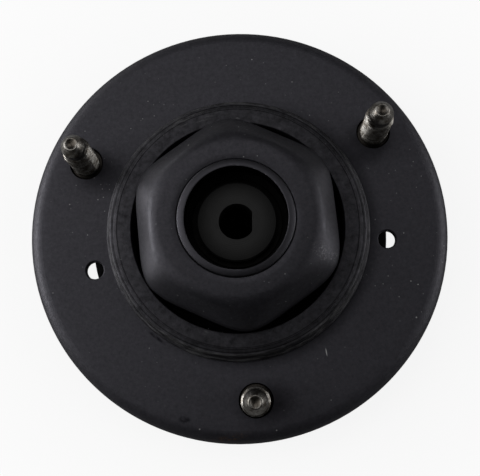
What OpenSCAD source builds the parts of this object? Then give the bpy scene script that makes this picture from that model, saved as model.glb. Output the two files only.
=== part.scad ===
// Front strut mount: a round steel flange with three studs, a moulded rubber cushion, a six-sided
// drawn housing and a sealed ball bearing that lets the strut rod turn with the steering.
// Sizes in millimetres, +Z up along the strut. The origin is the middle of the stud circle on the
// flange's top face, the face that is bolted up under the strut tower.

/* [Flange plate] */
// Outside diameter of the flange
plate_d = 153; // [148:1:168]
// Thickness of the flange's sheet
plate_t = 3.2; // [2.6:0.1:4]
// Depth of the turned-down rim below the top face
rim_depth = 10; // [8:0.5:14]
// Inside radius of the rim's bend
rim_bend_inside = 1.6; // [1.2:0.1:3.5]
// Straight length of the neck above its bend
neck_straight = 0.5; // [0.4:0.1:3]
// Diameter of the two small through holes
small_hole_d = 6.4; // [5:0.1:7.5]
// Angle of each small hole from the front stud
small_hole_angle = 80; // [70:1:90]
// Distance from the rubber ring's edge to the middle of a small hole
small_hole_offset = 6.2; // [5:0.1:8]
// Chamfer at the top edge of each small hole
small_hole_chamfer = 0.4; // [0.2:0.1:0.8]

/* [Studs] */
// Gap between a stud's head and the bend of the flange's rim
stud_rim_gap = 1.7; // [0.3:0.1:3]
// Thread diameter of a stud
stud_thread_d = 10; // [8:1:11]
// Height of a stud above the flange
stud_height = 26; // [22:0.5:36]
// Length of the groove, pilot and point at the stud's end
stud_end_length = 7.8; // [7:0.1:11]
// Diameter of the plain pilot
stud_pilot_d = 8.4; // [6.4:0.1:8.8]
// Diameter of the groove under the pilot
stud_groove_d = 7.8; // [5.8:0.1:8.2]
// Width of the groove under the pilot
stud_groove_w = 1.3; // [0.8:0.1:2]
// Length of the cone at the point
stud_cone_length = 3; // [2:0.1:4]
// Diameter of the flat end of the point
stud_point_d = 4.8; // [4:0.1:5.6]
// Diameter of the dimple in the point
stud_dimple_d = 3.5; // [2.5:0.1:3.8]
// Depth of the dimple in the point
stud_dimple_depth = 0.7; // [0.3:0.1:1.2]
// Diameter of the neck pressed into the flange
stud_neck_d = 12.4; // [12:0.1:13.5]
// Depth of the neck's shoulder below the flange's top face
stud_neck_recess = 0.8; // [0.4:0.1:1.5]
// Diameter of the stud's head under the flange
stud_head_d = 17; // [15:0.5:19]
// Thickness of the stud's head
stud_head_t = 2.8; // [2:0.1:4]

/* [Rubber cushion] */
// Thickness of rubber between the flange and the housing's flange
cushion_t = 11; // [8:0.5:16]
// Gap between the ring and the housing's corners
ring_gap = 0.5; // [0.4:0.1:1.5]
// Thickness of the rubber that lines the inside of the neck
ring_lining = 2; // [1.2:0.1:3]
// Thickness of the rubber that covers the end of the neck
ring_cover = 1.7; // [1.2:0.1:3]
// Width of the ring's flat top
ring_top_w = 5.4; // [4.6:0.1:7]
// Width of the ring's beaded outer side
ring_side_w = 4.3; // [3.6:0.1:6]
// Bare bend between the ring's edge and the flange's flat face
ring_margin = 0.3; // [0.1:0.1:1]
// Section radius of the two beads on the ring's outer side
ring_bead_r = 0.95; // [0.7:0.05:1.2]
// Rounding of the ring's inner top edge
ring_edge_r = 0.4; // [0.3:0.1:1]
// Drop of the step at the edge of the flat top
ring_step = 0.6; // [0.3:0.1:1]
// Rubber past the edge of the housing's flange
cushion_wrap = 3.6; // [2:0.1:5]
// Gap between the studs' heads and the cushion's waist under the flange
waist_gap = 2.9; // [2:0.1:4]
// Thickness of the rubber foot under the cup's flange
foot_t = 1.1; // [0.8:0.1:3]
// Width of the rubber foot under the cup's flange
foot_w = 6; // [4:0.5:8]

/* [Hexagonal dome] */
// Height of the dome's top above the flange
dome_rise = 23; // [20:0.5:30]
// Sheet thickness of the dome
dome_t = 2.6; // [2:0.1:3.2]
// Space between the bearing cup and the dome's flat sides
dome_room = 3.4; // [2.5:0.1:6]
// Depth to which the six flats are pressed into the round dome
dome_flat_depth = 2.95; // [2:0.05:4]
// Width of the dome's flat round top past the hole for the lip
dome_top_w = 5.6; // [4:0.1:7]
// Radius of the rounded edge of the flat top
dome_edge_r = 5.5; // [4.5:0.5:8]
// Angle through which that edge turns before the slow curve of the sides
dome_edge_turn = 50; // [42:1:54]
// Radius of the slow curve of the sides, seen from the side
dome_side_r = 36; // [32:1:42]
// Height of the round foot below the flats, above the dome's flange
dome_foot = 7; // [5.5:0.5:9]
// Width of the flare at the foot of the dome's sides
dome_flare = 4; // [2.5:0.5:5]
// Width of the dome's flange past the rubber ring's inside
dome_flange_w = 14; // [12:0.5:16]

/* [Bearing cup] */
// Sheet thickness of the cup
cup_t = 2.6; // [2:0.1:3.2]
// Inside radius of the cup's bends
cup_bend = 1; // [0.6:0.1:1.1]
// Rounding of the lip's two edges
lip_round = 0.4; // [0.3:0.1:0.9]
// Radius of the well that the nut and its socket go into
well_r = 17.6; // [16.5:0.1:19]
// Depth of the well from the lip to the washer
well_depth = 8.4; // [6:0.2:11]
// Height of the lip above the dome's top
lip_rise = 0.7; // [0.4:0.1:2]
// Gap between the lip and the hole in the dome
lip_gap = 0.2; // [0.1:0.05:0.4]
// How far the cup's flange stops inside the dome's flange
cup_flange_step = 2; // [1:0.5:4]
// Thickness of the retainer ring
retainer_t = 2; // [1.5:0.1:3]
// Width of the retainer ring
retainer_w = 3.6; // [3.4:0.1:5]

/* [Ball bearing] */
// Outside diameter of the bearing
bearing_od = 52; // [50:0.5:54]
// Bore of the bearing
bearing_bore = 25; // [23:0.5:26]
// Width of the bearing
bearing_w = 15; // [14:0.5:18]
// Chamfer on the races' corners
race_chamfer = 1.2; // [1.2:0.1:1.6]
// Diameter of a ball
ball_d = 7.94; // [7:0.01:8.4]
// Clearance between a ball and its grooves
ball_play = 0.08; // [0.05:0.01:0.12]
// Depth of the ball groove in each race
groove_depth = 1.6; // [1.2:0.1:1.9]
// Radial thickness of the cage
cage_w = 2.8; // [2:0.1:3]
// Clearance between a ball and its cage pocket
pocket_play = 0.15; // [0.1:0.01:0.3]
// Thickness of the cage's ring behind the balls
cage_back = 1; // [0.8:0.1:1.1]
// Thickness of a seal
seal_t = 1.2; // [0.8:0.1:1.3]
// Depth of a seal below the bearing's face
seal_inset = 0.6; // [0.5:0.1:0.8]
// Depth of the seal's seat in the outer race and of its step in the inner race
seal_seat = 1.2; // [0.8:0.1:1.4]
// Gap between a seal and the inner race
seal_gap = 0.3; // [0.3:0.05:0.5]

/* [Rod bush and washer] */
// Bore of the bush for the strut rod
rod_bore_d = 13.4; // [11.4:0.1:15]
// Diameter of the washer's D-shaped hole
washer_hole_d = 12.6; // [11:0.1:14.6]
// Distance from the axis to the flat of the washer's D-shaped hole
rod_flat = 5.3; // [4.8:0.1:5.8]
// Direction that the flat faces, from +X
rod_flat_angle = -6; // [-90:1:90]
// Diameter of the washer
washer_d = 28; // [26:0.5:32]
// Thickness of the washer
washer_t = 3; // [2:0.1:4]
// Chamfer on the washer and the bush
edge_chamfer = 0.5; // [0.3:0.1:0.8]
// Thickness of the bush's flange under the bearing
bush_flange_t = 5; // [3:0.5:7]
// Width of the bush's flange past the bearing's bore
bush_flange_w = 4.2; // [3:0.1:4.3]

/* [Hidden] */
// Number of studs, which the frame record's stud pattern also states
stud_count = 3;
// Number of balls, each of which is a node of its own
ball_count = 9;
// Facets of a full circle: the round faces stay true in the built solids
$fn = 96;
// Steps of each arc in the dome's section
arc_steps = 10;
// Overrun of cuts
over = 1;

// Radii from the axis outward
plate_r = plate_d / 2;
bore_r = bearing_bore / 2;
cup_in_r = bearing_od / 2;
cup_out_r = cup_in_r + cup_t;
lip_out_r = well_r + cup_t;
dome_hole_r = lip_out_r + lip_gap;
dome_flat_r = cup_out_r + dome_room + dome_t;
dome_corner_r = dome_flat_r + dome_flat_depth;
ring_in_r = dome_corner_r + ring_gap;
neck_in_r = ring_in_r + ring_lining;
neck_out_r = neck_in_r + plate_t;
ring_top_r = ring_in_r + ring_top_w;
ring_out_r = ring_top_r + ring_side_w;
flat_in_r = ring_out_r + ring_margin;
neck_bend = flat_in_r - neck_out_r;
dome_flange_r = ring_in_r + dome_flange_w;
cup_flange_r = dome_flange_r - cup_flange_step;
cushion_r = dome_flange_r + cushion_wrap;
small_hole_r = ring_out_r + small_hole_offset;
rim_bend_r = rim_bend_inside + plate_t;
stud_r = plate_r - rim_bend_r - stud_rim_gap - stud_head_d / 2;
waist_r = stud_r - stud_head_d / 2 - waist_gap;

// Heights
neck_top = neck_bend + neck_straight;
ring_top = neck_top + ring_cover;
lip_top = dome_rise + lip_rise;
washer_top = lip_top - well_depth;
bearing_top = washer_top - washer_t;
bearing_bottom = bearing_top - bearing_w;
bearing_mid = bearing_top - bearing_w / 2;
dome_flange_top = -(plate_t + cushion_t);
dome_flange_bottom = dome_flange_top - dome_t;
cup_flange_bottom = dome_flange_bottom - cup_t;
foot_bottom = cup_flange_bottom - foot_t;
bush_bottom = bearing_bottom - bush_flange_t;

// Middles of the two arcs in the dome's section: its top edge and the slow curve of its sides
edge_mid = [dome_hole_r + dome_top_w, dome_rise - dome_edge_r];
side_mid = edge_mid - (dome_side_r - dome_edge_r) * [sin(dome_edge_turn), cos(dome_edge_turn)];

// Inside of the bearing
ball_r = ball_d / 2;
pitch_r = (bearing_od + bearing_bore) / 4;
inner_land_r = pitch_r - ball_r + groove_depth;
outer_land_r = pitch_r + ball_r - groove_depth;
seal_step_r = inner_land_r - seal_seat;
seal_in_r = seal_step_r + seal_gap;
seal_out_r = outer_land_r + seal_seat;
seat_depth = seal_inset + seal_t;
step_depth = seat_depth + seal_gap;

// Colours of the sub-parts
paint_black = [0.10, 0.10, 0.11];
rubber_black = [0.14, 0.14, 0.13];
zinc_grey = [0.62, 0.60, 0.56];
race_steel = [0.72, 0.72, 0.74];
cage_tan = [0.55, 0.47, 0.30];
seal_dark = [0.08, 0.08, 0.09];
washer_grey = [0.30, 0.30, 0.31];

// A rectangle between two radii and two heights of a turned section
module band(r_in, r_out, z_low, z_high)
    translate([r_in, z_low])
        square([r_out - r_in, z_high - z_low]);

// A quarter circle of a turned section: side and level are 1 or -1 and pick the quarter
module quarter(middle, r, side, level)
    intersection() {
        translate(middle)
            circle(r = r);
        translate(middle + r * [min(side, 0), min(level, 0)])
            square(r);
    }

// Points on an arc, from one angle to another
function arc(middle, r, from, to, steps) =
    [for (k = [0:steps])
        let (turn = from + (to - from) * k / steps)
            middle + r * [cos(turn), sin(turn)]];

// A quarter bend of sheet between two radii about its middle
module bend(middle, r_in, r_out, side, level)
    difference() {
        quarter(middle, r_out, side, level);
        translate(middle)
            circle(r = r_in);
    }

// Section of the flange's sheet: neck, neck bend, flat ring, rim bend and rim
module flange_section() {
    band(neck_in_r, neck_out_r, neck_bend, neck_top);
    bend([flat_in_r, neck_bend], neck_bend, neck_bend + plate_t, -1, -1);
    band(flat_in_r, plate_r - rim_bend_r, -plate_t, 0);
    bend([plate_r - rim_bend_r, -rim_bend_r], rim_bend_inside, rim_bend_r, 1, 1);
    band(plate_r - plate_t, plate_r, -rim_depth, -rim_bend_r);
}

// Section of the dome's round flange
module dome_flange_section()
    band(ring_in_r - ring_gap, dome_flange_r, dome_flange_bottom, dome_flange_top);

// Section of the bearing cup's sheet: rounded lip, well, shoulder, bearing pocket and flange
module cup_section() {
    bend_out = cup_bend + cup_t;
    lip_low = lip_top - lip_round;
    well_low = bearing_top + bend_out;
    pocket_high = bearing_top - cup_bend;
    pocket_low = cup_flange_bottom + bend_out;
    quarter([well_r + lip_round, lip_low], lip_round, -1, 1);
    band(well_r + lip_round, lip_out_r - lip_round, lip_low, lip_top);
    quarter([lip_out_r - lip_round, lip_low], lip_round, 1, 1);
    band(well_r, lip_out_r, well_low, lip_low);
    bend([lip_out_r + cup_bend, well_low], cup_bend, bend_out, -1, -1);
    band(lip_out_r + cup_bend, cup_in_r - cup_bend, bearing_top, bearing_top + cup_t);
    bend([cup_in_r - cup_bend, pocket_high], cup_bend, bend_out, 1, 1);
    band(cup_in_r, cup_out_r, pocket_low, pocket_high);
    bend([cup_out_r + cup_bend, pocket_low], cup_bend, bend_out, -1, -1);
    band(cup_out_r + cup_bend, cup_flange_r, cup_flange_bottom, dome_flange_bottom);
}

// Copies its children to every stud's place, the first at the front (-Y)
module at_studs()
    for (i = [0:stud_count - 1])
        rotate([0, 0, -90 + i * 360 / stud_count])
            translate([stud_r, 0, 0])
                children();

// Flange: turned sheet section with the stud holes and the two small holes
module flange_plate()
    color(paint_black)
        difference() {
            rotate_extrude()
                flange_section();
            at_studs()
                translate([0, 0, -plate_t - over])
                    cylinder(d = stud_neck_d, h = plate_t + 2 * over);
            for (side = [-1, 1])
                rotate([0, 0, -90 + side * small_hole_angle])
                    translate([small_hole_r, 0, 0]) {
                        translate([0, 0, -plate_t - over])
                            cylinder(d = small_hole_d, h = plate_t + 2 * over);
                        translate([0, 0, -small_hole_chamfer])
                            cylinder(d1 = small_hole_d, d2 = small_hole_d + 4 * small_hole_chamfer,
                                h = 2 * small_hole_chamfer);
                    }
        }

// One stud: head, pressed neck, thread at its major diameter, groove, pilot, cone and dimple
module stud() {
    thread_top = stud_height - stud_end_length;
    pilot_bottom = thread_top + stud_groove_w;
    cone_bottom = stud_height - stud_cone_length;
    rotate_extrude()
        polygon([
            [0, -plate_t - stud_head_t],
            [stud_head_d / 2, -plate_t - stud_head_t],
            [stud_head_d / 2, -plate_t],
            [stud_neck_d / 2, -plate_t],
            [stud_neck_d / 2, -stud_neck_recess],
            [stud_thread_d / 2, -stud_neck_recess],
            [stud_thread_d / 2, thread_top],
            [stud_groove_d / 2, thread_top + stud_groove_w / 4],
            [stud_groove_d / 2, pilot_bottom],
            [stud_pilot_d / 2, pilot_bottom + stud_groove_w / 4],
            [stud_pilot_d / 2, cone_bottom],
            [stud_point_d / 2, stud_height],
            [stud_dimple_d / 2, stud_height],
            [0, stud_height - stud_dimple_depth]
        ]);
}

// The three press-in studs
module mounting_studs()
    color(zinc_grey)
        at_studs()
            stud();

// Outline of the rubber before the metal moulded into it is taken out
module cushion_outline() {
    flare_top = dome_flange_top + dome_flare + ring_gap;
    upper_bead = [ring_top_r + ring_side_w * 0.42, neck_bend + ring_bead_r / 3];
    lower_bead = [ring_out_r - ring_bead_r, ring_bead_r];
    polygon(concat(
        [[ring_in_r, flare_top]],
        arc([ring_in_r + ring_edge_r, ring_top - ring_edge_r], ring_edge_r, 180, 90, 3),
        [[ring_top_r, ring_top],
         [ring_top_r + ring_step / 3, ring_top - ring_step],
         [ring_top_r + ring_side_w * 0.35, ring_top - ring_step * 1.6]],
        arc(upper_bead, ring_bead_r, 75, -45, 6),
        [[ring_out_r - ring_bead_r * 1.4, neck_bend * 0.55]],
        arc(lower_bead, ring_bead_r, 80, 0, 5),
        [[ring_out_r, -plate_t / 2],
         [waist_r - ring_bead_r, -plate_t / 2],
         [waist_r - ring_bead_r, -plate_t],
         [waist_r, -plate_t],
         [waist_r - 0.6, -plate_t - cushion_t * 0.25],
         [waist_r + 0.2, -plate_t - cushion_t * 0.55],
         [cushion_r - 0.6, dome_flange_top + 0.4],
         [cushion_r, dome_flange_top - 0.8],
         [cushion_r, foot_bottom + 1.2],
         [cushion_r - 1.2, foot_bottom],
         [cup_flange_r - foot_w, foot_bottom],
         [cup_flange_r - foot_w, dome_flange_bottom],
         [ring_in_r + dome_flare + ring_gap, dome_flange_top]]));
}

// Moulded rubber: beaded ring, neck lining, main cushion and foot, round the metal it is bonded to
module rubber_cushion()
    color(rubber_black)
        rotate_extrude()
            difference() {
                cushion_outline();
                flange_section();
                dome_flange_section();
                cup_section();
            }

// Section of the round dome and its flare, inset from the outside of the sheet
module dome_section(inset, low) {
    slow_r = dome_side_r - inset;
    side_r = dome_corner_r - inset;
    flare_low = dome_flange_top - inset;
    slow_start = acos(min(1, (side_r - side_mid[0]) / slow_r));
    slow_curve = arc(side_mid, slow_r, slow_start, 90 - dome_edge_turn, arc_steps);
    polygon(concat(
        [[0, low],
         [side_r, low],
         [side_r, flare_low],
         [side_r + dome_flare, flare_low],
         [side_r, flare_low + dome_flare]],
        [for (k = [0:arc_steps - 1]) slow_curve[k]],
        arc(edge_mid, dome_edge_r - inset, 90 - dome_edge_turn, 90, arc_steps),
        [[0, dome_rise - inset]]));
}

// Round dome with its six pressed flats, inset from the outside of the sheet
module dome_body(inset, low)
    difference() {
        rotate_extrude()
            dome_section(inset, low);
        for (i = [0:5])
            rotate([0, 0, 60 * i])
                translate([dome_flat_r - inset, -dome_flat_r / 2, dome_flange_top + dome_foot - inset])
                    cube(dome_flat_r);
    }

// Drawn dome with its round flange, open below, with a hole for the cup's lip
module hex_dome()
    color(paint_black)
        difference() {
            union() {
                dome_body(0, dome_flange_bottom);
                translate([0, 0, dome_flange_bottom])
                    cylinder(r = dome_flange_r, h = dome_t);
            }
            dome_body(dome_t, dome_flange_bottom - over);
            translate([0, 0, dome_rise - dome_t - over])
                cylinder(r = dome_hole_r, h = dome_t + 2 * over);
        }

// Drawn cup that holds the bearing, welded by its flange under the dome's
module bearing_cup()
    color(paint_black)
        rotate_extrude()
            cup_section();

// Ring pressed into the cup under the bearing's outer race
module retainer_ring()
    color(zinc_grey)
        translate([0, 0, bearing_bottom - retainer_t])
            difference() {
                cylinder(r = cup_in_r, h = retainer_t);
                translate([0, 0, -over])
                    cylinder(r = cup_in_r - retainer_w, h = retainer_t + 2 * over);
            }

// Section of the ball groove, shared by both races
module groove_section()
    translate([pitch_r, bearing_mid])
        circle(r = ball_r + ball_play);

// Section of a race before its cuts: square at the land, chamfered at the fitted face
module race_section(land_r, fit_r) {
    chamfer_r = fit_r + sign(land_r - fit_r) * race_chamfer;
    polygon([
        [land_r, bearing_bottom],
        [chamfer_r, bearing_bottom],
        [fit_r, bearing_bottom + race_chamfer],
        [fit_r, bearing_top - race_chamfer],
        [chamfer_r, bearing_top],
        [land_r, bearing_top]
    ]);
}

// Outer race with its ball groove and a seat for a seal at each end
module bearing_outer_race()
    color(race_steel)
        rotate_extrude()
            difference() {
                race_section(outer_land_r, cup_in_r);
                groove_section();
                band(outer_land_r - over, seal_out_r, bearing_top - seat_depth, bearing_top + over);
                band(outer_land_r - over, seal_out_r, bearing_bottom - over, bearing_bottom + seat_depth);
            }

// Inner race with its ball groove and a step that the lip of each seal runs round
module bearing_inner_race()
    color(race_steel)
        rotate_extrude()
            difference() {
                race_section(inner_land_r, bore_r);
                groove_section();
                band(seal_step_r, inner_land_r + over, bearing_top - step_depth, bearing_top + over);
                band(seal_step_r, inner_land_r + over, bearing_bottom - over, bearing_bottom + step_depth);
            }

// One seal: a ring seated in the outer race that stops just short of the inner race
module seal(z_low)
    color(seal_dark)
        rotate_extrude()
            band(seal_in_r, seal_out_r, z_low, z_low + seal_t);

// Seal at the top of the bearing
module upper_seal()
    seal(bearing_top - seat_depth);

// Seal at the bottom of the bearing
module lower_seal()
    seal(bearing_bottom + seal_inset);

// Copies its children to the place of ball number i
module at_ball(i)
    rotate([0, 0, (i - 1) * 360 / ball_count])
        translate([pitch_r, 0, bearing_mid])
            children();

// Crown cage: a ring under the balls with fingers between them, pockets open at the top
module ball_cage() {
    cage_low = bearing_mid - ball_r - pocket_play - cage_back;
    color(cage_tan)
        difference() {
            rotate_extrude()
                band(pitch_r - cage_w / 2, pitch_r + cage_w / 2, cage_low, bearing_mid + ball_r / 2);
            for (i = [1:ball_count])
                at_ball(i)
                    sphere(r = ball_r + pocket_play);
        }
}

// One ball of the bearing
module bearing_ball(i)
    color(race_steel)
        at_ball(i)
            sphere(d = ball_d);

// Flanged bush in the bearing's bore, bored for the strut rod
module rod_bush()
    color(zinc_grey)
        rotate_extrude()
            polygon([
                [rod_bore_d / 2, bush_bottom + edge_chamfer],
                [rod_bore_d / 2 + edge_chamfer, bush_bottom],
                [bore_r + bush_flange_w - edge_chamfer, bush_bottom],
                [bore_r + bush_flange_w, bush_bottom + edge_chamfer],
                [bore_r + bush_flange_w, bearing_bottom],
                [bore_r, bearing_bottom],
                [bore_r, bearing_top],
                [rod_bore_d / 2, bearing_top]
            ]);

// Washer on the bush and inner race: its D-shaped hole holds the rod from turning under the nut
module rod_washer()
    color(washer_grey)
        rotate([0, 0, rod_flat_angle])
            difference() {
                rotate_extrude()
                    polygon([
                        [0, bearing_top],
                        [washer_d / 2, bearing_top],
                        [washer_d / 2, washer_top - edge_chamfer],
                        [washer_d / 2 - edge_chamfer, washer_top],
                        [0, washer_top]
                    ]);
                translate([0, 0, bearing_top - over])
                    linear_extrude(height = washer_t + 2 * over)
                        intersection() {
                            circle(d = washer_hole_d);
                            translate([-washer_hole_d, -washer_hole_d])
                                square([washer_hole_d + rod_flat, 2 * washer_hole_d]);
                        }
            }

flange_plate();
mounting_studs();
rubber_cushion();
hex_dome();
bearing_cup();
retainer_ring();
bearing_outer_race();
upper_seal();
lower_seal();
ball_cage();
for (i = [1:ball_count])
    bearing_ball(i);
bearing_inner_race();
rod_bush();
rod_washer();
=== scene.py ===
"""Looks of the strut mount: paint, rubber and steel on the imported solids, with threaded studs.

Lengths are in millimetres unless a comment says metres, and become metres where a mesh or node is made.
"""

import math

import bpy
from mathutils import Matrix, Vector


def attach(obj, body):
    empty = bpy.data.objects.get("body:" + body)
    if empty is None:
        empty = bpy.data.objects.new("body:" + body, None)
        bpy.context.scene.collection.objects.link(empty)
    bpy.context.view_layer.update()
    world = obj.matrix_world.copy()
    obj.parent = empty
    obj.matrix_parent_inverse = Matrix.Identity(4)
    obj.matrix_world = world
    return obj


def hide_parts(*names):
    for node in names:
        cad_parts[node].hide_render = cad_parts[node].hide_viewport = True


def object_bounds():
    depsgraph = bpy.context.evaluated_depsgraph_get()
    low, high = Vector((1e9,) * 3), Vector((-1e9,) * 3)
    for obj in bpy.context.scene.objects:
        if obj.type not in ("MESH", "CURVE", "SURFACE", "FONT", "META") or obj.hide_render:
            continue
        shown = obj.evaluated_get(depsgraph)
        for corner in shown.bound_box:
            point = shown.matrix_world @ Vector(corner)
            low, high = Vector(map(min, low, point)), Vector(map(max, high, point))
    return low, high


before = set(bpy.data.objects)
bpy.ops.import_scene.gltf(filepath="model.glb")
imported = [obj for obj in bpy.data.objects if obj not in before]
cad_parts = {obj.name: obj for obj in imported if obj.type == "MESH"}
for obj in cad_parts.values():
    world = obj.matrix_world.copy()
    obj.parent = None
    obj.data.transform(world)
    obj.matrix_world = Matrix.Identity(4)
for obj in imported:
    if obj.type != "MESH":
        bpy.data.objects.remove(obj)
cad_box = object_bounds()

MM = 0.001

# Sizes that repeat those of the solids
STUD_CIRCLE_R = 61.5
STUD_ANGLES = (-90.0, 30.0, 150.0)
PLATE_T = 3.2
STUD_HEIGHT = 26.0
STUD_END_LENGTH = 7.8
STUD_HEAD_R, STUD_HEAD_T = 8.5, 2.8
STUD_NECK_R, STUD_NECK_RECESS = 6.2, 0.8
STUD_THREAD_R = 5.0
STUD_GROOVE_R, STUD_GROOVE_W = 3.9, 1.3
STUD_PILOT_R, STUD_CONE_LENGTH = 4.2, 3.0
STUD_POINT_R, STUD_DIMPLE_R = 2.4, 1.75
DOME_TOP, DOME_T = 23.0, 2.6
DOME_HOLE_R, DOME_FLANGE_R = 20.4, 52.05
DOME_FLAT_R, DOME_CORNER_R = 34.6, 37.55
DOME_TOP_W, DOME_EDGE_R, DOME_EDGE_TURN, DOME_SIDE_R = 5.6, 5.5, 50.0, 36.0
DOME_FLARE, DOME_FOOT, DOME_FLANGE_TOP = 4.0, 7.0, -14.2
WELL_R = 17.6

# The studs' thread and softened edges, which only the looks have, and a dimple shallower than the solids'
THREAD_PITCH = 1.25
THREAD_LOW, THREAD_HIGH = -STUD_NECK_RECESS, STUD_HEIGHT - STUD_END_LENGTH
THREAD_DEPTH = 0.6134 * THREAD_PITCH
THREAD_ROOT_FLAT, THREAD_FLANK = 0.14, 0.74
THREAD_RUN_OUT, THREAD_RUN_OUT_DROP = 1.0, 0.9
THREAD_ROWS_PER_PITCH = 12
STUD_COLUMNS = 72
STUD_SMOOTH_ANGLE = 50.0
STUD_CENTRE_R = 0.02
STUD_HEAD_EDGE, STUD_TOP_EDGE, STUD_NECK_EDGE = 0.4, 0.3, 0.2
STUD_GROOVE_EDGE, STUD_PILOT_EDGE, STUD_POINT_EDGE = 0.3, 0.35, 0.25
STUD_DIMPLE_DEPTH = 0.4

# The dome's passage from a round top edge to six flats, which only the looks have
DOME_ROUND_R, DOME_SIX_R = 27.0, 35.0
DOME_BLEND = 2.4
DOME_UPRIGHT_TOP = 13.5
DOME_HOLE_EDGE, DOME_TOP_ROW = 0.3, 2.5
DOME_OUTSIDE_STEPS, DOME_INSIDE_STEPS = 24, 8
DOME_COLUMNS = 360
DOME_SMOOTH_ANGLE = 40.0

# Falls that bump alone gives to faces: inner radius, outer radius and drop
RIM_FALL = (68.0, 74.5, 0.40)
DOME_TOP_FALL = (20.4, 26.4, 0.16)
LIP_FALL = (17.6, 20.3, 0.75)
RING_FALL = (37.0, 43.4, 0.45)
BEAD_FALL = (43.4, 46.4, 0.40)

# Radii of the painted shade lines on the rubber ring and of its worn beads, and the heights below the
# flange where painted shade darkens it
RING_SHADE_LINES = ((43.0, 43.2), (44.7, 44.9))
WORN_BEADS = (45.3, 47.6)
RING_SHADE_Z = (-2.6, -0.6)

# Colours of marks and dirt, of painted shade in the well and at the studs' feet, and the faint violet tint
# of the black coat's gloss
DUST = (0.24, 0.24, 0.24)
RUBBER_DUST = (0.22, 0.22, 0.21)
SCUFF = (0.075, 0.075, 0.078)
SCRATCH = (0.30, 0.30, 0.30)
RUST = (0.045, 0.024, 0.012)
WELL_SHADE = (0.0006, 0.0006, 0.0006)
PIT_BROWN = (0.060, 0.053, 0.045)
FOOT_SHADE = (0.014, 0.0125, 0.011)
GLOSS_TINT = (0.98, 0.955, 1.09)

# Shares of gloss: of the coat from place to place, and what is left of it under smudges and under painted
# shade (the studs' shadows, low in the dome's gap, the ring's shadow on the plate); of the lip; of the
# rubber ring and under its painted shade; and of turned steel, fading outwards as painted shade
COAT_GLOSS = (0.28, 0.58)
SMUDGE_LEFT, PAINTED_SHADOW_LEFT, LOW_SHADE_LEFT, HALO_SHADE_LEFT = 0.15, 0.5, 0.06, 0.45
LIP_GLOSS = 0.52
RING_GLOSS, RING_SHADE_LEFT = (0.14, 0.56), 0.05
TURNED_SHADE_R, TURNED_SHADE_GLOSS = (8.5, 14.0), (0.30, 0.10)

# Dark stain in the dimple of each stud: depth of its middle below the point, and its half sizes
STAIN_DEPTH, STAIN_HALF = 0.6, (2.6, 2.6, 1.4)

# Floor: half its side in metres, its greys with a painted shadow under the part, and the radii and shares
# of its white
FLOOR_Z = cad_box[0][2]
FLOOR_HALF = 4.0
FLOOR_SHADE_UNDER, FLOOR_GREY, FLOOR_PALE = (0.01, 0.01, 0.01), (0.28, 0.28, 0.28), (0.92, 0.92, 0.92)
FLOOR_SHADE_R = (30.0, 42.0)
FLOOR_OPEN_R = (45.0, 50.0)
FLOOR_WHITE_R, FLOOR_WHITE = (80.0, 200.0), (0.88, 0.97)
FLOOR_MIRROR_R, FLOOR_MIRROR = (250.0, 900.0), 0.96
FLOOR_FRONT_Y, FLOOR_FRONT = (-350.0, 150.0), 0.12

# Soft boxes: name, bearing from +X, angle above the floor, width and height in metres, brightness
LAMPS = (
    ("right_low", 0.0, 8.0, 0.75, 0.40, 3.6),
    ("right_mid", 2.0, 40.0, 0.85, 0.5, 1.15),
    ("left_back_low", 140.0, 8.0, 0.75, 0.40, 2.0),
    ("left_low", 171.0, 8.0, 0.62, 0.40, 8.5),
    ("left_mid", 168.0, 42.0, 0.85, 0.5, 2.0),
    ("back_high", 90.0, 65.0, 0.6, 0.45, 1.45),
    ("left_high", 170.0, 65.0, 0.6, 0.45, 0.9),
)
WORLD_FILL = 0.03

# The photograph's camera, fitted to its outline, studs and rings
PHOTO_W = 480
CAMERA_FOCAL_PX = 859.0
CAMERA_DISTANCE = 312.0
CAMERA_TILT_X, CAMERA_TILT_Y, CAMERA_ROLL = -9.49, -1.58, 5.95
CAMERA_SHIFT_X, CAMERA_SHIFT_Y = -0.69, 3.19
CAMERA_SENSOR, CAMERA_NEAR = 36.0, 10.0


# Meshes

def polar_point(radius, angle, z):
    """A point at a radius, an angle in radians and a height."""
    return Vector((radius * math.cos(angle), radius * math.sin(angle), z))


def add_mesh(name, verts_mm, faces, body, smooth_angle):
    """A new object from points in millimetres, riding on a body."""
    mesh = bpy.data.meshes.new(name)
    mesh.from_pydata([v * MM for v in verts_mm], [], faces)
    mesh.validate()
    mesh.shade_smooth()
    mesh.set_sharp_from_angle(angle=math.radians(smooth_angle))
    obj = bpy.data.objects.new(name, mesh)
    bpy.context.scene.collection.objects.link(obj)
    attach(obj, body)
    return obj


def stitch_rows(rows, columns, start=0, closed=False):
    """Quads between neighbouring rings of points, and from the last ring to the first if closed."""
    faces = []
    for row in range(rows if closed else rows - 1):
        low, high = start + row * columns, start + (row + 1) % rows * columns
        for col in range(columns):
            after = (col + 1) % columns
            faces.append((low + col, low + after, high + after, high + col))
    return faces


def thread_radius(z, angle):
    """Radius of the right-hand thread, with narrow flats at root and crest, running out at its top."""
    run_out = max(0.0, 1.0 - (THREAD_HIGH - z) / THREAD_RUN_OUT)
    crest = STUD_THREAD_R - THREAD_RUN_OUT_DROP * run_out
    root = min(STUD_THREAD_R - THREAD_DEPTH, crest)
    phase = (z / THREAD_PITCH - angle / (2 * math.pi)) % 1.0
    rise = 1.0 - abs(2.0 * phase - 1.0)
    share = min(1.0, max(0.0, (rise - THREAD_ROOT_FLAT) / THREAD_FLANK))
    return root + (crest - root) * share


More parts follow.
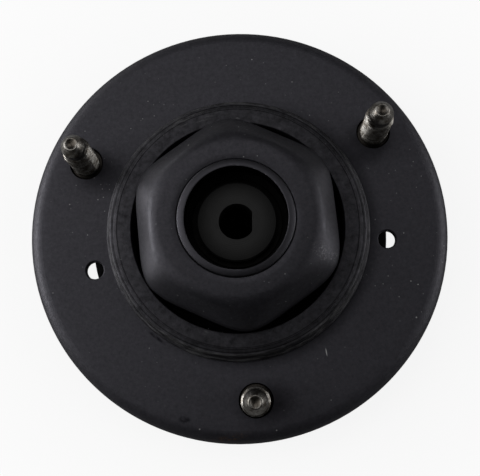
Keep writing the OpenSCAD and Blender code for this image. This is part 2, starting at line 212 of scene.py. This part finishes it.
def stud_rows():
    """Rows (height, radius or None for thread) up the outside of one stud."""
    head_low, head_top = -PLATE_T - STUD_HEAD_T, -PLATE_T
    pilot_low = THREAD_HIGH + STUD_GROOVE_W
    cone_low = STUD_HEIGHT - STUD_CONE_LENGTH
    steps = int((THREAD_HIGH - THREAD_LOW) / THREAD_PITCH * THREAD_ROWS_PER_PITCH)
    rows = [
        # Head and neck
        (head_low, STUD_CENTRE_R),
        (head_low, STUD_HEAD_R - STUD_HEAD_EDGE),
        (head_low + STUD_HEAD_EDGE, STUD_HEAD_R),
        (head_top - STUD_TOP_EDGE, STUD_HEAD_R),
        (head_top, STUD_HEAD_R - STUD_TOP_EDGE),
        (head_top, STUD_NECK_R),
        (THREAD_LOW - STUD_NECK_EDGE, STUD_NECK_R),
        (THREAD_LOW, STUD_NECK_R - STUD_NECK_EDGE),
    ]
    rows += [(THREAD_LOW + (THREAD_HIGH - THREAD_LOW) * k / steps, None) for k in range(steps + 1)]
    rows += [
        # Groove and pilot
        (THREAD_HIGH + STUD_GROOVE_EDGE, STUD_GROOVE_R),
        (pilot_low, STUD_GROOVE_R),
        (pilot_low + STUD_PILOT_EDGE, STUD_PILOT_R),
        # Soft edge from the pilot to the cone
        (cone_low - 0.2, STUD_PILOT_R),
        (cone_low + 0.1, STUD_PILOT_R - 0.12),
        # Rounded edge of the point
        (STUD_HEIGHT - STUD_POINT_EDGE, STUD_POINT_R + 0.08),
        (STUD_HEIGHT - 0.05, STUD_POINT_R - 0.12),
        (STUD_HEIGHT, STUD_POINT_R - 0.3),
        # Dimple, with a soft edge and a sloping floor
        (STUD_HEIGHT - 0.06, STUD_DIMPLE_R),
        (STUD_HEIGHT - STUD_DIMPLE_DEPTH * 0.7, STUD_DIMPLE_R - 0.3),
        (STUD_HEIGHT - STUD_DIMPLE_DEPTH, STUD_CENTRE_R),
    ]
    return rows


def make_studs():
    """The three press-in studs with cut threads, in one object as in the solids."""
    rows = stud_rows()
    verts, faces = [], []
    for stud_angle in STUD_ANGLES:
        middle = polar_point(STUD_CIRCLE_R, math.radians(stud_angle), 0.0)
        start = len(verts)
        for z, radius in rows:
            for col in range(STUD_COLUMNS):
                angle = 2 * math.pi * col / STUD_COLUMNS
                r = thread_radius(z, angle) if radius is None else radius
                verts.append(middle + polar_point(r, angle, z))
        last = len(verts) - STUD_COLUMNS
        faces += stitch_rows(len(rows), STUD_COLUMNS, start)
        faces.append(tuple(range(start, start + STUD_COLUMNS))[::-1])
        faces.append(tuple(range(last, last + STUD_COLUMNS)))
    studs = add_mesh("studs_threaded", verts, faces, "mount", STUD_SMOOTH_ANGLE)
    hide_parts("mounting_studs")
    return studs


def dome_arcs(inset, steps):
    """Rows (radius, height) over the dome's rounded edge and down the slow curve of its sides."""
    turn = math.radians(DOME_EDGE_TURN)
    reach = DOME_SIDE_R - DOME_EDGE_R
    edge = (DOME_HOLE_R + DOME_TOP_W, DOME_TOP - DOME_EDGE_R)
    side = (edge[0] - reach * math.sin(turn), edge[1] - reach * math.cos(turn))
    last = math.asin(min(1.0, (DOME_CORNER_R - inset - side[0]) / (DOME_SIDE_R - inset)))
    arcs = ((edge, DOME_EDGE_R - inset, 0.0, turn), (side, DOME_SIDE_R - inset, turn, last))
    rows = []
    for middle, radius, start, end in arcs:
        for k in range(1 if rows else 0, steps + 1):
            angle = start + (end - start) * k / steps
            rows.append((middle[0] + radius * math.sin(angle), middle[1] + radius * math.cos(angle)))
    return rows


def flat_limit(bearing, inset):
    """Distance from the axis to the nearest of the six flats along a bearing."""
    off = (bearing + math.pi / 6) % (math.pi / 3) - math.pi / 6
    return (DOME_FLAT_R - inset) / math.cos(off)


def soft_min(first, second, blend):
    """The smaller of two lengths, rounded over where they are close."""
    share = max(blend - abs(first - second), 0.0) / blend
    return min(first, second) - share * share * blend / 4


def six_sided(radius, bearing):
    """Radius of the dome's outside at a bearing: round at its top edge, with six flats further out."""
    share = min(1.0, max(0.0, (radius - DOME_ROUND_R) / (DOME_SIX_R - DOME_ROUND_R)))
    share = share * share * (3.0 - 2.0 * share)
    sides = soft_min(flat_limit(bearing, 0.0), DOME_CORNER_R, DOME_BLEND) / DOME_FLAT_R
    return radius * (1.0 - share + share * sides)


def dome_rows():
    """Rows (radius, height, form) round the dome's sheet: down its outside, then up its inside."""
    low, inside_low = DOME_FLANGE_TOP, DOME_FLANGE_TOP - DOME_T
    foot, inside_foot = low + DOME_FOOT, low + DOME_FOOT - DOME_T
    side, inside = DOME_CORNER_R, DOME_CORNER_R - DOME_T
    outside = [
        # Rounded edge of the hole, and one more row on the flat top
        (DOME_HOLE_R, DOME_TOP - DOME_HOLE_EDGE),
        (DOME_HOLE_R + 0.1, DOME_TOP - 0.09),
        (DOME_HOLE_R + DOME_HOLE_EDGE, DOME_TOP),
        (DOME_HOLE_R + DOME_TOP_ROW, DOME_TOP),
    ]
    outside += [(r, z) for r, z in dome_arcs(0.0, DOME_OUTSIDE_STEPS) if r < DOME_FLAT_R]
    outside += [(DOME_FLAT_R, DOME_UPRIGHT_TOP), (DOME_FLAT_R, foot)]
    flange = [
        (side, foot), (side, low + DOME_FLARE), (side + DOME_FLARE, low), (DOME_FLANGE_R, low),
        (DOME_FLANGE_R, inside_low), (inside + DOME_FLARE, inside_low),
        (inside, inside_low + DOME_FLARE), (inside, inside_foot),
    ]
    lining = [(inside, inside_foot)]
    lining += dome_arcs(DOME_T, DOME_INSIDE_STEPS)[::-1]
    lining += [(DOME_HOLE_R, DOME_TOP - DOME_T)]
    rows = [(r, z, "six_sided") for r, z in outside]
    rows += [(r, z, "round") for r, z in flange]
    rows += [(r, z, "flats_inside") for r, z in lining]
    return rows


def make_dome():
    """The drawn dome with its six pressed flats, as one closed sheet."""
    rows = dome_rows()
    verts = []
    for radius, z, form in reversed(rows):
        for col in range(DOME_COLUMNS):
            bearing = 2 * math.pi * col / DOME_COLUMNS
            r = radius
            if form == "six_sided":
                r = six_sided(radius, bearing)
            elif form == "flats_inside":
                r = soft_min(radius, flat_limit(bearing, DOME_T), DOME_BLEND)
            verts.append(polar_point(r, bearing, z))
    faces = stitch_rows(len(rows), DOME_COLUMNS, closed=True)
    dome = add_mesh("dome_drawn", verts, faces, "mount", DOME_SMOOTH_ANGLE)
    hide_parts("hex_dome")
    return dome


# Nodes

class Graph:
    """A node tree, with a short call for each kind of node used on the part and on the stage."""

    def __init__(self, tree):
        self.nodes, self.links = tree.nodes, tree.links

    def feed(self, socket, value):
        """Links an output to an input socket, or sets a colour or a number on it."""
        if hasattr(value, "is_output"):
            self.links.new(value, socket)
        elif isinstance(value, tuple):
            socket.default_value = (*value, 1.0)
        else:
            socket.default_value = value

    def ramp(self, value, low, high, low_out=0.0, high_out=1.0):
        """Maps a value from low..high to low_out..high_out, clamped."""
        node = self.nodes.new("ShaderNodeMapRange")
        node.inputs["From Min"].default_value = low
        node.inputs["From Max"].default_value = high
        node.inputs["To Min"].default_value = low_out
        node.inputs["To Max"].default_value = high_out
        self.feed(node.inputs["Value"], value)
        return node.outputs["Result"]

    def ramp_mm(self, value, low_mm, high_mm, low_out=0.0, high_out=1.0):
        """The same for a length in metres, with its limits in millimetres."""
        return self.ramp(value, low_mm * MM, high_mm * MM, low_out, high_out)

    def operate(self, operation, first, second=0.0):
        """One step of arithmetic on two values, each a socket or a number."""
        node = self.nodes.new("ShaderNodeMath")
        node.operation = operation
        self.feed(node.inputs[0], first)
        self.feed(node.inputs[1], second)
        return node.outputs["Value"]

    def times(self, first, second):
        """Product of two values."""
        return self.operate("MULTIPLY", first, second)

    def minus(self, first, second):
        """First value less the second."""
        return self.operate("SUBTRACT", first, second)

    def larger(self, first, second):
        """The larger of two values."""
        return self.operate("MAXIMUM", first, second)

    def mix(self, share, first, second):
        """Mix of first and second, each a colour or a socket, by a share."""
        node = self.nodes.new("ShaderNodeMix")
        node.data_type = "RGBA"
        colours = {s.name: s for s in node.inputs if s.type == "RGBA"}
        self.feed(node.inputs["Factor"], share)
        self.feed(colours["A"], first)
        self.feed(colours["B"], second)
        return [s for s in node.outputs if s.type == "RGBA"][0]

    def length(self, vector):
        """Length of a vector."""
        node = self.nodes.new("ShaderNodeVectorMath")
        node.operation = "LENGTH"
        self.feed(node.inputs[0], vector)
        return node.outputs["Value"]


class Finish(Graph):
    """A material in the making: its shader, and masks in the part's own frame, which is in metres."""

    def __init__(self, name):
        self.material = bpy.data.materials.new(name)
        self.material.use_nodes = True
        super().__init__(self.material.node_tree)
        self.shader = self.nodes["Principled BSDF"]
        self.where = self.nodes.new("ShaderNodeTexCoord").outputs["Object"]

    def give(self, name, value):
        """Feeds one input of the shader."""
        self.feed(self.shader.inputs[name], value)

    def axes(self):
        """X, Y and Z of a point, as sockets."""
        split = self.nodes.new("ShaderNodeSeparateXYZ")
        self.feed(split.inputs["Vector"], self.where)
        return split.outputs["X"], split.outputs["Y"], split.outputs["Z"]

    def polar(self):
        """Radius from the Z axis, bearing about it and height, as sockets."""
        x, y, height = self.axes()
        flat = self.nodes.new("ShaderNodeCombineXYZ")
        self.feed(flat.inputs["X"], x)
        self.feed(flat.inputs["Y"], y)
        return self.length(flat.outputs["Vector"]), self.operate("ARCTAN2", y, x), height

    def noise(self, scale, detail=3.0, rough=0.55, where=None):
        """Noise with features of about 1/scale metres, in the part's frame or other coordinates."""
        node = self.nodes.new("ShaderNodeTexNoise")
        node.inputs["Scale"].default_value = scale
        node.inputs["Detail"].default_value = detail
        node.inputs["Roughness"].default_value = rough
        self.feed(node.inputs["Vector"], self.where if where is None else where)
        return node.outputs["Fac"]

    def bump(self, height, strength, distance_mm, under=None):
        """Bump from a height socket, on top of another bump if one is given."""
        node = self.nodes.new("ShaderNodeBump")
        node.inputs["Strength"].default_value = strength
        node.inputs["Distance"].default_value = distance_mm * MM
        self.feed(node.inputs["Height"], height)
        if under is not None:
            self.feed(node.inputs["Normal"], under)
        return node.outputs["Normal"]

    def crowned(self, radius, low_mm, high_mm, drop_mm, under=None):
        """Bump of a face that falls away outwards, ever steeper, between two radii."""
        across = self.ramp_mm(radius, low_mm, high_mm)
        return self.bump(self.minus(1.0, self.times(across, across)), 1.0, drop_mm, under)

    def between(self, value, low_mm, high_mm, soft_mm):
        """Mask of a length between two limits, with soft edges."""
        rise = self.ramp_mm(value, low_mm - soft_mm, low_mm + soft_mm)
        fall = self.ramp_mm(value, high_mm - soft_mm, high_mm + soft_mm, 1.0, 0.0)
        return self.times(rise, fall)

    def specks(self, scale, size, share):
        """Mask of small round specks: one in some of the cells of a lattice of 1/scale metres."""
        cells = self.nodes.new("ShaderNodeTexVoronoi")
        cells.inputs["Scale"].default_value = scale
        self.feed(cells.inputs["Vector"], self.where)
        split = self.nodes.new("ShaderNodeSeparateColor")
        self.feed(split.inputs["Color"], cells.outputs["Color"])
        dot = self.ramp(cells.outputs["Distance"], size, size * 0.5)
        return self.times(dot, self.ramp(split.outputs["Red"], 1.0 - share, 1.0))

    def patch(self, place, bearing, half_length, half_width, half_height=8.0):
        """Mask of one long soft patch: its middle, its bearing in degrees and its half sizes."""
        node = self.nodes.new("ShaderNodeMapping")
        node.vector_type = "TEXTURE"
        node.inputs["Location"].default_value = Vector(place) * MM
        node.inputs["Rotation"].default_value = (0.0, 0.0, math.radians(bearing))
        node.inputs["Scale"].default_value = Vector((half_length, half_width, half_height)) * MM
        self.feed(node.inputs["Vector"], self.where)
        return self.ramp(self.length(node.outputs["Vector"]), 1.0, 0.45)

    def patches(self, places):
        """One mask of several patches."""
        mask = self.patch(*places[0])
        for place in places[1:]:
            mask = self.larger(mask, self.patch(*place))
        return mask


# Finishes

def coat_surface(finish, roughness, under):
    """Tint and fine grain of the black coat, in roughness and in bump on top of a fall."""
    grain = finish.noise(900.0, 4.0, 0.7)
    finish.give("Specular Tint", GLOSS_TINT)
    finish.give("Roughness", finish.ramp(grain, 0.25, 0.75, roughness - 0.09, roughness + 0.09))
    finish.give("Normal", finish.bump(grain, 0.4, 0.05, under))


def paint(name, dark, light, roughness, fall, scratches=(), scuffs=(), smudges=(), rust=(), painted_shadows=(),
          shade_low_z=None, halo_shade_r=None):
    """Satin black electro-coat: mottled and dusty, with the marks of handling.

    Painted shadows of the studs dull the gloss in patches. Painted shade, low in the dome's gap, clears
    upwards between the two heights shade_low_z. On the right, a painted shadow of the rubber ring clears
    outwards between the two radii halo_shade_r.
    """
    finish = Finish(name)
    radius, bearing, height = finish.polar()
    mottle = finish.ramp(finish.noise(260.0, 7.0, 0.8), 0.30, 0.72)
    streaks = finish.ramp(finish.noise(1100.0, 3.0, 0.7), 0.5, 0.66)
    dusty = finish.ramp(finish.noise(22.0), 0.42, 0.60)
    dust = finish.times(finish.specks(420.0, 0.12, 0.6), dusty)
    lint = finish.specks(150.0, 0.055, 0.5)
    colour = finish.mix(mottle, dark, light)
    colour = finish.mix(finish.larger(dust, lint), colour, DUST)
    if scuffs:
        colour = finish.mix(finish.times(finish.patches(scuffs), streaks), colour, SCUFF)
    if rust:
        colour = finish.mix(finish.times(finish.patches(rust), streaks), colour, RUST)
    if scratches:
        colour = finish.mix(finish.patches(scratches), colour, SCRATCH)
    finish.give("Base Color", colour)

    gloss = finish.ramp(finish.noise(700.0, 5.0, 0.8), 0.25, 0.75, *COAT_GLOSS)
    if smudges:
        ragged = finish.ramp(finish.noise(500.0), 0.3, 0.5)
        dull = finish.times(finish.patches(smudges), ragged)
        gloss = finish.times(gloss, finish.ramp(dull, 0.0, 1.0, 1.0, SMUDGE_LEFT))
    # Painted shadows of the studs on the plate: patches of duller gloss beside their bases
    if painted_shadows:
        gloss = finish.times(gloss, finish.ramp(finish.patches(painted_shadows), 0.0, 1.0, 1.0, PAINTED_SHADOW_LEFT))
    # Painted shade low in the dome's gap between it and the ring: duller gloss below a height
    if shade_low_z is not None:
        gloss = finish.times(gloss, finish.ramp_mm(height, *shade_low_z, LOW_SHADE_LEFT, 1.0))
    # Painted shadow of the rubber ring on the plate, on its right: duller gloss just outside it
    if halo_shade_r is not None:
        dull = finish.minus(1.0, finish.ramp_mm(radius, *halo_shade_r, HALO_SHADE_LEFT, 1.0))
        right = finish.ramp(finish.operate("COSINE", finish.operate("ADD", bearing, 0.4)), -0.2, 0.7)
        gloss = finish.times(gloss, finish.minus(1.0, finish.times(dull, right)))
    finish.give("Specular IOR Level", gloss)
    coat_surface(finish, roughness, finish.crowned(radius, *fall))
    return finish.material


def well_paint(name, dark, light, roughness):
    """The same coat on the cup, with painted shade on the well's wall below the crowned lip: black and
    without gloss.
    """
    finish = Finish(name)
    radius, _, _ = finish.polar()
    blotch = finish.ramp(finish.noise(160.0), 0.35, 0.7)
    # Painted shade: the well's wall below the lip is black and without gloss
    lip = finish.ramp_mm(radius, WELL_R + 0.02, WELL_R + 0.25)
    finish.give("Base Color", finish.mix(lip, WELL_SHADE, finish.mix(blotch, dark, light)))
    finish.give("Specular IOR Level", finish.ramp(lip, 0.0, 1.0, 0.0, LIP_GLOSS))
    coat_surface(finish, roughness, finish.crowned(radius, *LIP_FALL))
    return finish.material


def rubber(name, dark, light, gloss):
    """Matte moulded rubber or plastic with a dusty bloom."""
    finish = Finish(name)
    bloom = finish.ramp(finish.noise(120.0, 5.0, 0.65), 0.42, 0.72)
    grain = finish.noise(1500.0)
    finish.give("Base Color", finish.mix(bloom, dark, light))
    finish.give("Roughness", finish.ramp(grain, 0.2, 0.8, 0.62, 0.85))
    finish.give("Specular IOR Level", gloss)
    finish.give("Normal", finish.bump(grain, 0.35, 0.06))
    return finish.material


def ring_rubber(name, painted_shade, dark, light, worn, scuffs):
    """The cushion's rubber: streaks round the ring, worn beads, a few scuffs, and painted shade below the
    flange and along two lines.
    """
    finish = Finish(name)
    radius, bearing, height = finish.polar()
    along = finish.nodes.new("ShaderNodeCombineXYZ")
    finish.feed(along.inputs["X"], finish.times(bearing, 0.008))
    finish.feed(along.inputs["Y"], radius)
    finish.feed(along.inputs["Z"], height)
    streaks = finish.noise(900.0, 4.0, 0.65, along.outputs["Vector"])
    bloom = finish.ramp(finish.noise(170.0, 5.0, 0.65), 0.38, 0.70)
    rubbed = finish.times(finish.between(radius, *WORN_BEADS, 0.25), finish.ramp(streaks, 0.45, 0.70))
    marks = finish.times(finish.patches(scuffs), finish.ramp(streaks, 0.52, 0.66))
    # Painted shade: dark lines on the ring, and dark below the flange
    inner_line, outer_line = [finish.between(radius, *line, 0.15) for line in RING_SHADE_LINES]
    lit = finish.minus(finish.ramp_mm(height, *RING_SHADE_Z), finish.larger(inner_line, outer_line))
    unshaded = finish.ramp(lit, 0.0, 1.0)
    colour = finish.mix(bloom, dark, light)
    colour = finish.mix(finish.larger(rubbed, marks), colour, worn)
    colour = finish.mix(finish.specks(260.0, 0.06, 0.12), colour, RUBBER_DUST)
    finish.give("Base Color", finish.mix(unshaded, painted_shade, colour))

    sheen = finish.ramp(finish.noise(420.0, 5.0, 0.75), 0.30, 0.70, *RING_GLOSS)
    sheen = finish.times(sheen, finish.ramp(unshaded, 0.0, 1.0, RING_SHADE_LEFT, 1.0))
    finish.give("Specular IOR Level", sheen)
    finish.give("Specular Tint", GLOSS_TINT)
    finish.give("Roughness", finish.ramp(streaks, 0.3, 0.7, 0.46, 0.62))
    under = finish.crowned(radius, *RING_FALL)
    under = finish.crowned(radius, *BEAD_FALL, under)
    finish.give("Normal", finish.bump(streaks, 0.5, 0.10, under))
    return finish.material


def steel(name, clean, stained, roughness, pits=(), shade_foot_z=None):
    """Plated or turned steel with stains, dark pits and painted shade at its foot."""
    finish = Finish(name)
    stain = finish.ramp(finish.noise(420.0, 5.0, 0.65), 0.38, 0.62)
    grain = finish.noise(2400.0, 2.0)
    colour = finish.mix(stain, clean, stained)
    if pits:
        colour = finish.mix(finish.patches(pits), colour, PIT_BROWN)
    # Painted shade at the foot of the stud, below a height
    if shade_foot_z is not None:
        _, _, height = finish.axes()
        colour = finish.mix(finish.ramp_mm(height, 0.0, shade_foot_z), FOOT_SHADE, colour)
    finish.give("Base Color", colour)
    finish.give("Metallic", 1.0)
    finish.give("Roughness", finish.ramp(grain, 0.2, 0.8, roughness - 0.08, roughness + 0.1))
    finish.give("Normal", finish.bump(grain, 0.2, 0.02))
    return finish.material


def turned(name, dark, light, ring_mm, roughness):
    """Dull steel with the fine rings of a turned face about the Z axis, less glossy further out as painted
    shade towards the wall around it.
    """
    finish = Finish(name)
    radius, _, _ = finish.polar()
    turns = finish.times(radius, 2 * math.pi / (ring_mm * MM))
    wave = finish.ramp(finish.operate("SINE", turns), -1.0, 1.0)
    cloud = finish.ramp(finish.noise(300.0, 4.0), 0.35, 0.7)
    finish.give("Base Color", finish.mix(cloud, dark, light))
    # Painted shade: gloss fades outwards, towards the wall around the face
    finish.give("Specular IOR Level", finish.ramp_mm(radius, *TURNED_SHADE_R, *TURNED_SHADE_GLOSS))
    finish.give("Roughness", finish.ramp(cloud, 0.0, 1.0, roughness - 0.06, roughness + 0.08))
    finish.give("Normal", finish.bump(wave, 0.3, 0.05))
    return finish.material


def dress(node, material):
    """Gives a solid of the frame its material."""
    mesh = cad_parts[node].data
    mesh.materials.clear()
    mesh.materials.append(material)


# Stage

def floor_finish():
    """Grey to the light, nearly white to the camera, white to mirrored rays far off, open from below,
    painted dark as shadow under the part.
    """
    finish = Finish("floor_white")
    radius, _, _ = finish.polar()
    _, y, _ = finish.axes()
    path = finish.nodes.new("ShaderNodeLightPath").outputs
    pale = finish.mix(path["Is Camera Ray"], FLOOR_GREY, FLOOR_PALE)
    # Painted shadow: the floor under the part is dark
    finish.give("Base Color", finish.mix(finish.ramp_mm(radius, *FLOOR_SHADE_R), FLOOR_SHADE_UNDER, pale))
    finish.give("Roughness", 0.9)

    white = finish.ramp_mm(radius, *FLOOR_WHITE_R, *FLOOR_WHITE)
    open_floor = finish.times(finish.ramp_mm(radius, *FLOOR_OPEN_R), white)
    seen = finish.times(path["Is Camera Ray"], open_floor)
    far_floor = finish.ramp_mm(radius, *FLOOR_MIRROR_R, 0.0, FLOOR_MIRROR)
    far_floor = finish.times(far_floor, finish.ramp_mm(y, *FLOOR_FRONT_Y, FLOOR_FRONT, 1.0))
    mirrored = finish.larger(path["Is Glossy Ray"], path["Is Transmission Ray"])

    glow = finish.nodes.new("ShaderNodeEmission")
    finish.feed(glow.inputs["Color"], (1.0, 1.0, 1.0))
    top = finish.nodes.new("ShaderNodeMixShader")
    finish.feed(top.inputs["Fac"], finish.larger(seen, finish.times(mirrored, far_floor)))
    finish.feed(top.inputs[1], finish.shader.outputs["BSDF"])
    finish.feed(top.inputs[2], glow.outputs["Emission"])
    open_below = finish.nodes.new("ShaderNodeMixShader")
    below = finish.nodes.new("ShaderNodeNewGeometry").outputs["Backfacing"]
    clear = finish.nodes.new("ShaderNodeBsdfTransparent").outputs["BSDF"]
    finish.feed(open_below.inputs["Fac"], below)
    finish.feed(open_below.inputs[1], top.outputs["Shader"])
    finish.feed(open_below.inputs[2], clear)
    finish.feed(finish.nodes["Material Output"].inputs["Surface"], open_below.outputs["Shader"])
    return finish.material


def make_floor():
    """The floor that the part rests on."""
    half = FLOOR_HALF
    corners = [(-half, -half, 0), (half, -half, 0), (half, half, 0), (-half, half, 0)]
    mesh = bpy.data.meshes.new("floor")
    mesh.from_pydata(corners, [], [(0, 1, 2, 3)])
    floor = bpy.data.objects.new("floor", mesh)
    floor.location.z = FLOOR_Z
    bpy.context.scene.collection.objects.link(floor)
    mesh.materials.append(floor_finish())


def make_light(name, bearing, height_angle, width, height, brightness):
    """A soft box a metre away, at a bearing from +X and an angle above the floor, facing the part."""
    data = bpy.data.lights.new(name, "AREA")
    data.shape = "RECTANGLE"
    data.size, data.size_y = width, height
    data.energy = brightness * math.pi * width * height
    lamp = bpy.data.objects.new(name, data)
    rise = math.radians(height_angle)
    place = polar_point(math.cos(rise), math.radians(bearing), math.sin(rise))
    lamp.location = place
    lamp.rotation_euler = (-place).to_track_quat("-Z", "Y").to_euler()
    bpy.context.scene.collection.objects.link(lamp)


def make_world():
    """Plain surroundings: white to the camera, and a faint even fill on the part."""
    world = bpy.data.worlds.new("studio")
    world.use_nodes = True
    graph = Graph(world.node_tree)
    back = graph.nodes["Background"]
    path = graph.nodes.new("ShaderNodeLightPath").outputs
    graph.feed(back.inputs["Color"], (1.0, 1.0, 1.0))
    graph.feed(back.inputs["Strength"], graph.ramp(path["Is Camera Ray"], 0.0, 1.0, WORLD_FILL, 1.0))
    bpy.context.scene.world = world


def make_camera():
    """The photograph's camera, from its fitted turn, distance and focal length."""
    turn = Matrix.Rotation(math.radians(CAMERA_TILT_X), 3, "X")
    turn = turn @ Matrix.Rotation(math.radians(CAMERA_TILT_Y), 3, "Y")
    turn = turn @ Matrix.Rotation(math.radians(CAMERA_ROLL), 3, "Z")
    back = turn.transposed()
    data = bpy.data.cameras.new("camera")
    data.sensor_fit = "HORIZONTAL"
    data.sensor_width = CAMERA_SENSOR
    data.lens = CAMERA_SENSOR * CAMERA_FOCAL_PX / PHOTO_W
    data.clip_start = CAMERA_NEAR * MM
    camera = bpy.data.objects.new("camera", data)
    place = back @ Vector((-CAMERA_SHIFT_X, -CAMERA_SHIFT_Y, CAMERA_DISTANCE)) * MM
    camera.matrix_world = Matrix.Translation(place) @ back.to_4x4()
    bpy.context.scene.collection.objects.link(camera)
    bpy.context.scene.camera = camera


studs = make_studs()
dome = make_dome()

# Materials, whose marks are patches: middle, bearing in degrees, half length, half width
flange_paint = paint(
    "flange_paint_satin", (0.0060, 0.0059, 0.0072), (0.0150, 0.0147, 0.0178), 0.52, RIM_FALL,
    # Painted shadow of the rubber ring on the plate, on its right
    halo_shade_r=(48.0, 52.5),
    scratches=(((26.5, -47.3, 0.0), -86.0, 1.7, 0.22),),
    smudges=(((-33.1, -35.8, 0.0), 137.0, 4.6, 0.75), ((-25.6, -65.6, 0.0), -15.0, 2.6, 1.6)),
    # Painted shadows: patches beside each stud's base, where its cast shadow falls
    painted_shadows=(((-49.0, 27.0, 0.0), -35.0, 14.0, 9.0), ((49.5, 26.5, 0.0), 40.0, 13.0, 9.0),
           ((3.0, -62.0, 0.0), 0.0, 13.0, 9.0)),
    rust=(((-10.5, -73.4, -1.5), 8.0, 9.0, 1.6), ((41.6, 64.3, -1.0), -33.0, 8.0, 1.4)))
dome_paint = paint(
    "dome_paint_satin", (0.0025, 0.0025, 0.0031), (0.0070, 0.0069, 0.0085), 0.47, DOME_TOP_FALL,
    # Painted shade low in the dome's gap
    shade_low_z=(3.0, 11.0),
    scuffs=(((27.5, -14.5, 19.5), -35.0, 5.5, 3.4), ((31.5, -16.0, 14.0), 60.0, 4.0, 1.6)))
cup_paint = well_paint("cup_paint_satin", (0.0024, 0.0024, 0.0028), (0.0042, 0.0042, 0.0048), 0.46)
# Its first colour is painted shade, below the flange and along two lines
cushion_rubber = ring_rubber(
    "cushion_rubber_matte", (0.001, 0.001, 0.001), (0.0035, 0.0035, 0.0038), (0.0085, 0.0084, 0.0088),
    (0.060, 0.060, 0.060),
    scuffs=(((-12.0, 42.5, 7.0), 12.0, 13.0, 4.5), ((3.9, 39.2, 7.0), 0.0, 1.2, 0.7),
            ((-15.1, -36.4, 7.0), -20.0, 1.6, 0.9)))
seal_rubber = rubber("seal_rubber_black", (0.0016, 0.0016, 0.0016), (0.0035, 0.0035, 0.0035), 0.06)
stud_stains = [
    (polar_point(STUD_CIRCLE_R, math.radians(a), STUD_HEIGHT - STAIN_DEPTH), 0.0, *STAIN_HALF)
    for a in STUD_ANGLES]
# Painted shade at each stud's foot, below a height
stud_zinc = steel(
    "stud_zinc_worn", (0.29, 0.28, 0.262), (0.085, 0.073, 0.060), 0.30, pits=stud_stains, shade_foot_z=2.5)
# Painted shade: the bearing races are near black, as the well around them is in shade
race_steel = steel("race_steel_shade_black", (0.0045, 0.0044, 0.0042), (0.0028, 0.0027, 0.0026), 0.45)
ball_steel = steel("ball_steel_polished", (0.60, 0.60, 0.61), (0.50, 0.50, 0.50), 0.20)
retainer_steel = steel("retainer_steel_plain", (0.50, 0.49, 0.46), (0.36, 0.34, 0.30), 0.38)
washer_steel = turned("washer_steel_turned", (0.0040, 0.0040, 0.0040), (0.0085, 0.0084, 0.0082), 0.7, 0.58)
bush_steel = turned("bush_steel_greasy", (0.006, 0.006, 0.0055), (0.012, 0.0115, 0.010), 0.4, 0.6)
cage_plastic = rubber("cage_polyamide", (0.24, 0.19, 0.10), (0.30, 0.24, 0.13), 0.5)

studs.data.materials.append(stud_zinc)
dome.data.materials.append(dome_paint)
for node_name, material in {
    "flange_plate": flange_paint, "hex_dome": dome_paint, "bearing_cup": cup_paint,
    "rubber_cushion": cushion_rubber, "retainer_ring": retainer_steel,
    "bearing_outer_race": race_steel, "bearing_inner_race": race_steel,
    "upper_seal": seal_rubber, "lower_seal": seal_rubber, "ball_cage": cage_plastic,
    "rod_bush": bush_steel, "rod_washer": washer_steel,
}.items():
    dress(node_name, material)
for node_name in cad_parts:
    if node_name.startswith("bearing_ball_"):
        dress(node_name, ball_steel)

make_floor()
make_world()
for lamp in LAMPS:
    make_light(*lamp)
make_camera()

bpy.context.scene.view_settings.view_transform = "Standard"
